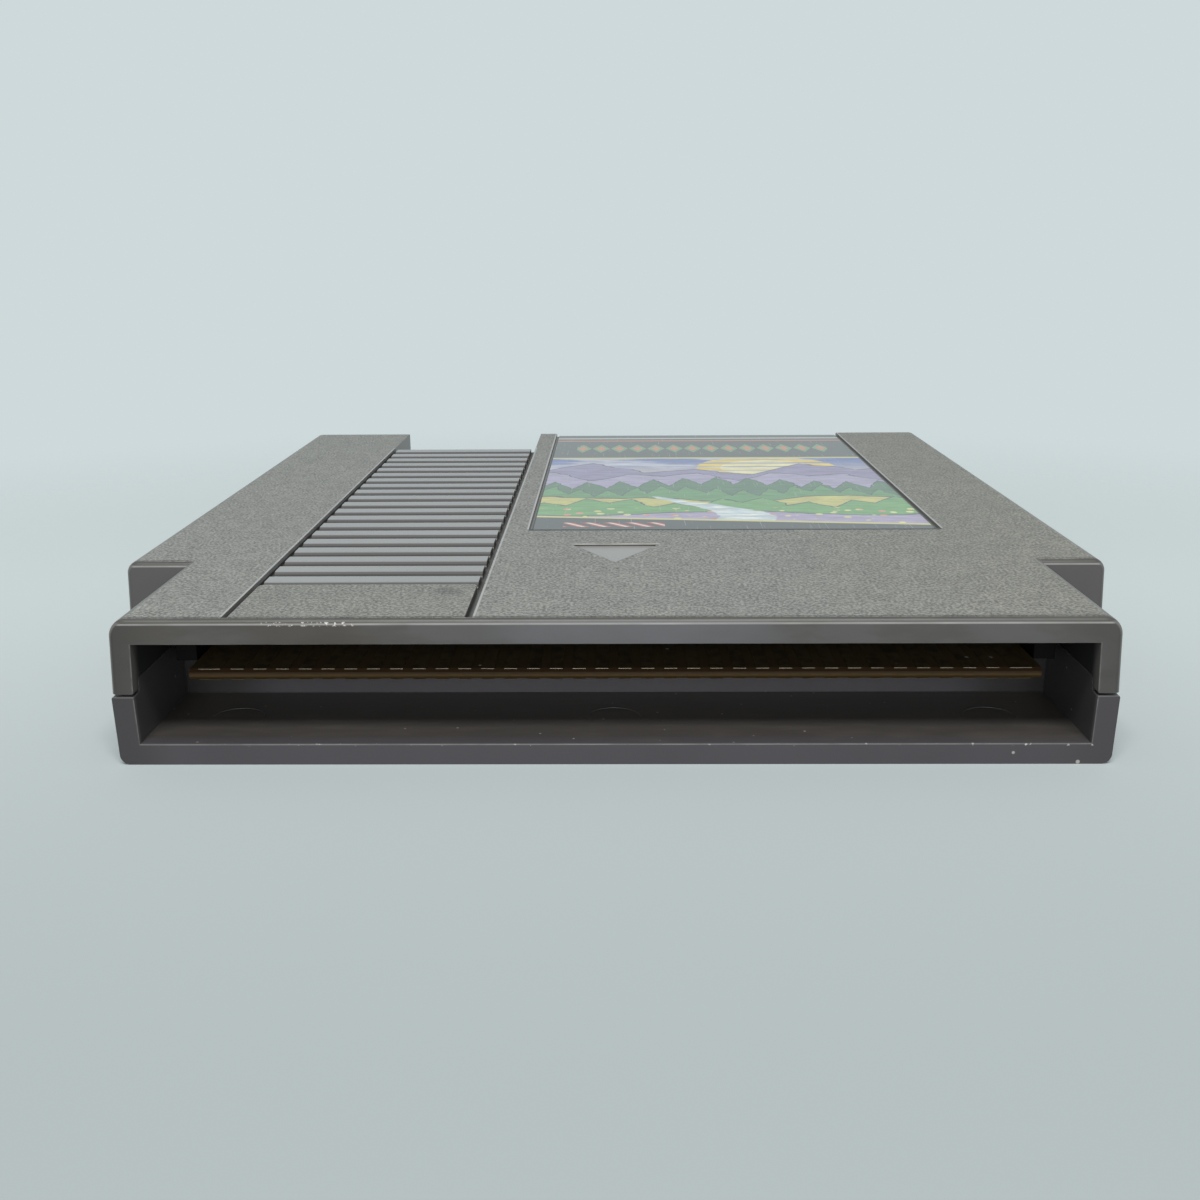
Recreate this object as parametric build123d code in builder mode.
from build123d import *
import os

# Game cartridge: two moulded shell halves screwed together round a circuit board with edge contacts.
# It lies on its back half with the label up. X runs across it, Y runs from the connector mouth to the
# far end, Z is up, and the origin is the middle of the resting face. All sizes are in millimetres.
# Distances along Y in the values below are counted from the mouth face.

# Closed case, widest at the parting line
width = 120.0
length = 133.6
thickness = 16.2
neck_width = 106.1
neck_length = 25.3
parting_height = 7.85
parting_gap = 0.3

# Moulded walls and edges
draft_angle = 1.5
side_wall = 2.35
front_wall = 2.8
back_wall = 2.35
neck_edge_radius = 2.0
side_edge_radius = 1.5
end_edge_radius = 0.65
bottom_edge_radius = 1.1
clearance = 0.1
beyond = 1.0

# Slopes that pick out end faces, which lean a little, and side faces that have no draft yet
upright = 0.9
level = 0.001

# Lip of the back half, which enters a rebate in the front half
lip_thickness = 1.1
lip_top = 9.25
lip_setback = 1.9

# Grip: a sunk field with ribs, and a pad between the ribs and the mouth
grip_left = -41.0
grip_right = -14.7
grip_start = 0.8
grip_depth = 0.9
pad_left = -40.4
pad_right = -15.5
pad_end = 14.4
pad_radius = 0.8
rib_left = -40.2
rib_right = -15.5
rib_start = 15.1
rib_count = 20
rib_pitch = 5.0
rib_width = 3.7
rib_radius = 0.75

# Finger notch at the far end of the grip, as wide as its field
notch_start = 115.3
notch_floor = 10.0
notch_wall = 2.0

# Label and the recess that it lies in, both turned down over the far end
recess_left = -11.5
recess_right = 44.0
recess_start = 43.5
recess_depth = 0.45
recess_end_depth = 0.6
recess_bend = 1.2
label_margin = 0.5
label_thickness = 0.15
label_corner = 1.5

# Tab of the front half that carries the label's end past the parting line
tab_margin = 2.0
tab_bottom = 3.2
tab_inset = 0.15
tab_ledge = 0.25
tab_clearance = 0.15

# Arrow that points to the mouth
arrow_left = -5.5
arrow_right = 5.9
arrow_base = 34.9
arrow_point = 25.1
arrow_depth = 0.35

# Circuit board
board_thickness = 1.2
board_bottom = 7.7
board_front = 5.73
board_end = 70.0
board_width = 100.0
board_bevel = 0.35
tongue_width = 93.07
tongue_end = 24.0

# Edge contacts, with a wider one at each end of a row
contact_pitch = 2.5
contact_count = 34
contact_width = 1.4
contact_start = 6.15
contact_end = 16.3
contact_thickness = 0.05
end_contact_width = 2.4
end_contact_x = 44.3

# Cross walls behind the contacts, and a post beside each end of the contact row
cross_wall_start = 16.8
cross_wall_end = 18.6
post_inner = 46.8
post_outer = 49.2
post_start = 9.8
post_bottom = 8.6

# Screw bosses, which meet at one level, and the supports under the board's rear corners
screw_spots = [(0, 30), (-51, 52), (51, 52)]
boss_diameter = 8.4
boss_joint = 9.2
boss_room = 0.5
screw_hole_diameter = 3.2
pilot_diameter = 2.8
pilot_top = 14.6
counterbore_diameter = 6.2
counterbore_depth = 4.2
support_spots = [(-44, 65.5), (44, 65.5)]
support_width = 1.5
support_length = 6.0

# Screws, with a fluted head that takes a hollow driver
screw_core_diameter = 2.7
screw_tip = 14.0
screw_head_diameter = 5.4
screw_head_height = 2.0
screw_flutes = 6
screw_flute_width = 0.9
screw_flute_depth = 0.6

# Chips under the board: centre, body length and width, pins, pin pitch and distance between the rows
chips = {
    "program_rom": dict(x=-26, y=53, length=36.0, width=13.6, pins=28, pitch=2.54, rows=15.24),
    "character_rom": dict(x=26, y=53, length=36.0, width=13.6, pins=28, pitch=2.54, rows=15.24),
    "mapper_chip": dict(x=-28, y=33, length=19.5, width=6.4, pins=16, pitch=2.54, rows=7.62),
    "lockout_chip": dict(x=28, y=33, length=19.5, width=6.4, pins=16, pitch=2.54, rows=7.62),
}
chip_height = 3.4
chip_standoff = 0.6
chip_draft = 7
chip_notch_radius = 1.2
chip_notch_depth = 0.6
lead_width = 0.5
lead_thickness = 0.25

# Disc capacitors, standing off the board on two wires
disc_spots = [(-11, 38), (11, 38)]
disc_diameter = 3.8
disc_thickness = 2.0
disc_standoff = 0.9
disc_wire_spacing = 2.5
disc_skirt_width = 3.3

# Can capacitor, lying under the board with its wires turned up to it
can_x = 0.0
can_start = 54.0
can_length = 8.0
can_diameter = 5.0
can_standoff = 0.2
can_wire_spacing = 2.0
can_wire_run = 1.6
wire_width = 0.45

# Levels and edges that follow from the values above
far_end = length / 2
front_bottom = parting_height + parting_gap / 2
back_top = parting_height - parting_gap / 2
front_parting = Plane.XY.offset(front_bottom)
back_parting = Plane.XY.offset(back_top)
cavity_top = thickness - front_wall
board_top = board_bottom + board_thickness
chip_top = board_bottom - chip_standoff
chip_middle = chip_top - chip_height / 2
disc_middle = board_bottom - disc_standoff - disc_diameter / 2
can_middle = board_bottom - can_standoff - can_diameter / 2
neck_inside = neck_width / 2 - side_wall
recess_floor = thickness - recess_depth
recess_far = far_end - recess_end_depth
recess_bottom = tab_bottom + tab_ledge
tab_left = recess_left - tab_margin
tab_right = recess_right + tab_margin
tab_inside = length - side_wall
tab_outside = length - tab_inset
disc_wires = [(x + side * disc_wire_spacing / 2, y) for x, y in disc_spots for side in (-1, 1)]
can_wires = [can_x + side * can_wire_spacing / 2 for side in (-1, 1)]


def from_mouth(distance):
    """Y of a point this far behind the mouth face."""
    return distance - length / 2


def in_plan(spots):
    """Plan positions with Y counted from the middle of the case instead of its mouth."""
    return [(x, from_mouth(y)) for x, y in spots]


def plan_outline(inset, start, mode=Mode.ADD):
    """Draw the case's plan, this far inside its edge and from this far behind the mouth face."""
    neck_half = neck_width / 2 - inset
    wide_half = width / 2 - inset
    shoulder = from_mouth(neck_length + inset)
    half = [
        (neck_half, from_mouth(start)),
        (neck_half, shoulder),
        (wide_half, shoulder),
        (wide_half, far_end - inset),
    ]
    Polygon(*half, *[(-x, y) for x, y in reversed(half)], align=None, mode=mode)


def plan_rectangle(left, right, start, end, mode=Mode.ADD):
    """Draw a rectangle between two X values and two distances behind the mouth face."""
    with Locations(((left + right) / 2, from_mouth((start + end) / 2))):
        Rectangle(right - left, end - start, mode=mode)


def straight_sides(shell):
    """Side faces that have no draft yet."""
    return shell.faces().filter_by(lambda face: abs(face.normal_at().Z) < level)


def top_sides(shell):
    """Top edges along the case's sides, those of the neck first."""
    return shell.edges().group_by(Axis.Z)[-1].filter_by(Axis.Y).sort_by(Axis.Y)


def end_outlines(shell):
    """Outer edges of the faces that look towards the mouth or away from it, except at the parting line."""
    ends = shell.faces().filter_by(lambda face: abs(face.normal_at().Y) > upright)
    edges = ends.edges().filter_by(lambda edge: edge.center().Z > front_bottom + end_edge_radius)
    beside_neck = from_mouth(neck_length - end_edge_radius)
    return edges.filter_by(
        lambda edge: not beside_neck < edge.center().Y < 0 or abs(edge.center().X) > neck_width / 2
    )


def outside_of_wrap(start, rise, bottom, mode=Mode.ADD):
    """Draw, from the side, the space outside a sheet that turns down the far end, this far off its seat."""
    with BuildLine() as edge:
        top = Line((from_mouth(start), recess_floor + rise), (recess_far - recess_bend, recess_floor + rise))
        turn = JernArc(top @ 1, (1, 0), recess_bend + rise, -90)
        Polyline(
            turn @ 1,
            (recess_far + rise, bottom),
            (far_end + beyond, bottom),
            (far_end + beyond, thickness + beyond),
            (from_mouth(start), thickness + beyond),
            top @ 0,
        )
    make_face(edge.edges(), mode=mode)


def pin_columns(chip):
    """X of each pair of a chip's pins."""
    per_row = chip["pins"] // 2
    return [chip["x"] + chip["pitch"] * (i - (per_row - 1) / 2) for i in range(per_row)]


def save(part, node):
    """Name a finished piece and write its file."""
    part.label = node
    export_step(part, f"parts/{node}.step")


os.makedirs("parts", exist_ok=True)

# Front half of the case
with BuildPart() as front_shell:
    # Outer form, narrowing upwards from the parting line
    with BuildSketch(front_parting):
        plan_outline(0, 0)
    extrude(amount=thickness - front_bottom)
    draft(straight_sides(front_shell), front_parting, draft_angle)
    fillet(top_sides(front_shell)[:2], radius=neck_edge_radius)
    fillet(top_sides(front_shell)[2:], radius=side_edge_radius)
    fillet(end_outlines(front_shell), radius=end_edge_radius)

    # Inside, open at the mouth, and the rebate for the lip
    with BuildSketch(front_parting):
        plan_outline(side_wall, -beyond)
    extrude(amount=cavity_top - front_bottom, mode=Mode.SUBTRACT)
    draft(straight_sides(front_shell), front_parting, -draft_angle)
    with BuildSketch(front_parting):
        plan_outline(side_wall - lip_thickness - clearance, lip_setback - clearance)
    extrude(amount=lip_top + clearance - front_bottom, mode=Mode.SUBTRACT)

    # Grip field, its pad and ribs
    with BuildSketch(Plane.XY.offset(thickness)):
        plan_rectangle(grip_left, grip_right, grip_start, notch_start)
        with Locations(((pad_left + pad_right) / 2, from_mouth(0))):
            RectangleRounded(pad_right - pad_left, 2 * pad_end, pad_radius, mode=Mode.SUBTRACT)
    extrude(amount=-grip_depth, mode=Mode.SUBTRACT)
    with BuildSketch(Plane.YZ.offset(rib_left)) as ribs:
        first_rib = from_mouth(rib_start + rib_width / 2)
        with Locations(*[(first_rib + i * rib_pitch, thickness - grip_depth / 2) for i in range(rib_count)]):
            Rectangle(rib_width, grip_depth)
        fillet(ribs.vertices().group_by(Axis.Y)[-1], radius=rib_radius)
    extrude(amount=rib_right - rib_left)

    # Finger notch with its own walls inside the case
    with BuildSketch(front_parting):
        plan_rectangle(
            grip_left - notch_wall,
            grip_right + notch_wall,
            notch_start - notch_wall,
            tab_inside,
        )
    extrude(amount=cavity_top - front_bottom)
    with BuildSketch(Plane.XY.offset(notch_floor)):
        plan_rectangle(grip_left, grip_right, notch_start, length + beyond)
    extrude(amount=thickness - notch_floor + beyond, mode=Mode.SUBTRACT)

    # Tab for the end of the label, then the label's recess
    with BuildSketch(Plane.XY.offset(tab_bottom)):
        plan_rectangle(tab_left, tab_right, tab_inside, tab_outside)
    extrude(amount=lip_top + clearance - tab_bottom)
    with BuildSketch(Plane.YZ.offset(recess_left)):
        outside_of_wrap(recess_start, 0, recess_bottom)
    extrude(amount=recess_right - recess_left, mode=Mode.SUBTRACT)

    # Arrow
    with BuildSketch(Plane.XY.offset(thickness)):
        arrow_middle = (arrow_left + arrow_right) / 2
        arrow = [(arrow_left, arrow_base), (arrow_right, arrow_base), (arrow_middle, arrow_point)]
        Polygon(*in_plan(arrow), align=None)
    extrude(amount=-arrow_depth, mode=Mode.SUBTRACT)

    # Cross wall that holds the board down, and the posts beside the contacts
    with BuildSketch(Plane.XY.offset(board_top)):
        plan_rectangle(-neck_inside, neck_inside, cross_wall_start, cross_wall_end)
    extrude(amount=cavity_top - board_top)
    with BuildSketch(Plane.XY.offset(post_bottom)):
        plan_rectangle(post_inner, post_outer, post_start, cross_wall_start)
        plan_rectangle(-post_outer, -post_inner, post_start, cross_wall_start)
    extrude(amount=cavity_top - post_bottom)

    # Screw bosses with their pilot holes
    with BuildSketch(Plane.XY.offset(boss_joint)):
        with Locations(*in_plan(screw_spots)):
            Circle(boss_diameter / 2)
    extrude(amount=cavity_top - boss_joint)
    with BuildSketch(Plane.XY.offset(boss_joint)):
        with Locations(*in_plan(screw_spots)):
            Circle(pilot_diameter / 2)
    extrude(amount=pilot_top - boss_joint, mode=Mode.SUBTRACT)
save(front_shell.part, "front_shell")

# Back half of the case
with BuildPart() as back_shell:
    # Outer form, narrowing downwards from the parting line, with its lower rim round except at the mouth
    with BuildSketch(back_parting):
        plan_outline(0, 0)
    extrude(amount=-back_top)
    draft(straight_sides(back_shell), back_parting, -draft_angle)
    rim = back_shell.edges().group_by(Axis.Z)[0]
    fillet(rim.sort_by(Axis.Y)[1:], radius=bottom_edge_radius)

    # Inside, open at the mouth
    with BuildSketch(back_parting):
        plan_outline(side_wall, -beyond)
    extrude(amount=back_wall - back_top, mode=Mode.SUBTRACT)
    draft(straight_sides(back_shell), back_parting, draft_angle)

    # Lip on the wall, left off under the finger notch and along the label's tab
    with BuildSketch(back_parting):
        plan_outline(side_wall - lip_thickness, lip_setback)
        plan_outline(side_wall, -beyond, mode=Mode.SUBTRACT)
        plan_rectangle(
            grip_left - notch_wall - tab_clearance,
            tab_right + tab_clearance,
            notch_start,
            length,
            mode=Mode.SUBTRACT,
        )
    extrude(amount=lip_top - back_top)

    # Gap in the end wall for the label's tab
    with BuildSketch(Plane.XY.offset(tab_bottom - tab_clearance)):
        plan_rectangle(
            tab_left - tab_clearance,
            tab_right + tab_clearance,
            tab_inside - beyond,
            length + beyond,
        )
    extrude(amount=back_top - tab_bottom + tab_clearance, mode=Mode.SUBTRACT)

    # Cross wall under the board, screw bosses and board supports
    with BuildSketch(Plane.XY.offset(back_wall)):
        plan_rectangle(-neck_inside, neck_inside, cross_wall_start, cross_wall_end)
        with Locations(*in_plan(support_spots)):
            Rectangle(support_width, support_length)
    extrude(amount=board_bottom - back_wall)
    with BuildSketch(Plane.XY.offset(back_wall)):
        with Locations(*in_plan(screw_spots)):
            Circle(boss_diameter / 2)
    extrude(amount=boss_joint - back_wall)
    with Locations(*[Location((x, y, 0), (180, 0, 0)) for x, y in in_plan(screw_spots)]):
        CounterBoreHole(
            radius=screw_hole_diameter / 2,
            counter_bore_radius=counterbore_diameter / 2,
            counter_bore_depth=counterbore_depth,
            depth=boss_joint,
        )
save(back_shell.part, "back_shell")

# Label
with BuildPart() as front_label:
    with BuildSketch(Plane.YZ.offset(recess_left + label_margin)):
        outside_of_wrap(recess_start + label_margin, 0, recess_bottom + label_margin)
        outside_of_wrap(recess_start, label_thickness, recess_bottom, mode=Mode.SUBTRACT)
    extrude(amount=recess_right - recess_left - 2 * label_margin)
    near_corners = front_label.edges().filter_by(Axis.Z).group_by(Axis.Y)[0]
    fillet(near_corners, radius=label_corner)
save(front_label.part, "front_label")

# Circuit board
with BuildPart() as circuit_board:
    with BuildSketch(Plane.XY.offset(board_bottom)):
        plan_rectangle(-tongue_width / 2, tongue_width / 2, board_front, tongue_end)
        plan_rectangle(-board_width / 2, board_width / 2, tongue_end, board_end)
        with Locations(*in_plan(screw_spots)):
            Circle(boss_diameter / 2 + boss_room, mode=Mode.SUBTRACT)
    extrude(amount=board_thickness)
    front_edges = circuit_board.edges().filter_by(Axis.X).group_by(Axis.Y)[0]
    chamfer(front_edges, length=board_bevel)
save(circuit_board.part, "circuit_board")


def make_contacts(bottom):
    """One row of contacts on a face of the board, from this height up."""
    with BuildPart() as contacts:
        with BuildSketch(Plane.XY.offset(bottom)):
            for i in range(contact_count):
                x = contact_pitch * (i - (contact_count - 1) / 2)
                plan_rectangle(x - contact_width / 2, x + contact_width / 2, contact_start, contact_end)
            for x in (-end_contact_x, end_contact_x):
                half = end_contact_width / 2
                plan_rectangle(x - half, x + half, contact_start, contact_end)
        extrude(amount=contact_thickness)
    return contacts.part


save(make_contacts(board_top), "contacts_top")
save(make_contacts(board_bottom - contact_thickness), "contacts_bottom")


def make_chip_body(chip):
    """Moulded body with drafted sides and a half-round notch at its first pin's end."""
    middle = (chip["x"], from_mouth(chip["y"]))
    notch_end = (chip["x"] - chip["length"] / 2, middle[1])
    with BuildPart() as body:
        with BuildSketch(Plane.XY.offset(chip_middle)):
            with Locations(middle):
                Rectangle(chip["length"], chip["width"])
        extrude(amount=chip_height / 2, both=True, taper=chip_draft)
        with BuildSketch(Plane.XY.offset(chip_top - chip_height)):
            with Locations(notch_end):
                Circle(chip_notch_radius)
        extrude(amount=chip_notch_depth, mode=Mode.SUBTRACT)
    return body.part


def make_chip_leads(chip):
    """Pairs of leads that leave the body's sides and slope up to the board."""
    side = chip["width"] / 2
    row = chip["rows"] / 2
    lead = [
        (side, chip_middle - lead_thickness / 2),
        (row + lead_thickness / 2, board_bottom),
        (row - lead_thickness / 2, board_bottom),
        (side, chip_middle + lead_thickness / 2),
    ]
    middle = from_mouth(chip["y"])
    planes = [Plane((x, middle, 0), x_dir=(0, 1, 0), z_dir=(1, 0, 0)) for x in pin_columns(chip)]
    with BuildPart() as leads:
        with BuildSketch(*planes):
            Polygon(*lead, align=None)
            Polygon(*[(-y, z) for y, z in reversed(lead)], align=None)
        extrude(amount=lead_width / 2, both=True)
    return leads.part


for name, chip in chips.items():
    save(make_chip_body(chip), f"{name}_body")
    save(make_chip_leads(chip), f"{name}_leads")

# Disc capacitors and their wires
with BuildPart() as ceramic_capacitors:
    for x, y in in_plan(disc_spots):
        with BuildSketch(Plane((x, y + disc_thickness / 2, disc_middle), x_dir=(1, 0, 0), z_dir=(0, -1, 0))):
            Circle(disc_diameter / 2)
            Rectangle(disc_skirt_width, disc_diameter / 2, align=(Align.CENTER, Align.MIN))
        extrude(amount=disc_thickness)
save(ceramic_capacitors.part, "ceramic_capacitors")

with BuildPart() as ceramic_capacitor_leads:
    with BuildSketch(Plane.XY.offset(disc_middle + disc_diameter / 2)):
        with Locations(*in_plan(disc_wires)):
            Rectangle(wire_width, wire_width)
    extrude(amount=board_bottom - disc_middle - disc_diameter / 2)
save(ceramic_capacitor_leads.part, "ceramic_capacitor_leads")

# Can capacitor and its wires
with BuildPart() as electrolytic_capacitor:
    with BuildSketch(Plane((can_x, from_mouth(can_start), can_middle), x_dir=(-1, 0, 0), z_dir=(0, 1, 0))):
        Circle(can_diameter / 2)
    extrude(amount=can_length)
save(electrolytic_capacitor.part, "electrolytic_capacitor")

with BuildPart() as electrolytic_capacitor_leads:
    wire_front = from_mouth(can_start - can_wire_run) - wire_width / 2
    wire_lower = can_middle - wire_width / 2
    wire = [
        (from_mouth(can_start), wire_lower),
        (wire_front, wire_lower),
        (wire_front, board_bottom),
        (wire_front + wire_width, board_bottom),
        (wire_front + wire_width, wire_lower + wire_width),
        (from_mouth(can_start), wire_lower + wire_width),
    ]
    with BuildSketch(*[Plane.YZ.offset(x) for x in can_wires]):
        Polygon(*wire, align=None)
    extrude(amount=wire_width / 2, both=True)
save(electrolytic_capacitor_leads.part, "electrolytic_capacitor_leads")

# Screws
with BuildPart() as case_screws:
    seat = Plane.XY.offset(counterbore_depth)
    with BuildSketch(seat):
        with Locations(*in_plan(screw_spots)):
            Circle(screw_core_diameter / 2)
    extrude(amount=screw_tip - counterbore_depth)
    with BuildSketch(seat):
        with Locations(*in_plan(screw_spots)):
            Circle(screw_head_diameter / 2)
            with PolarLocations(screw_head_diameter / 2, screw_flutes):
                Rectangle(2 * screw_flute_depth, screw_flute_width, mode=Mode.SUBTRACT)
    extrude(amount=-screw_head_height)
save(case_screws.part, "case_screws")
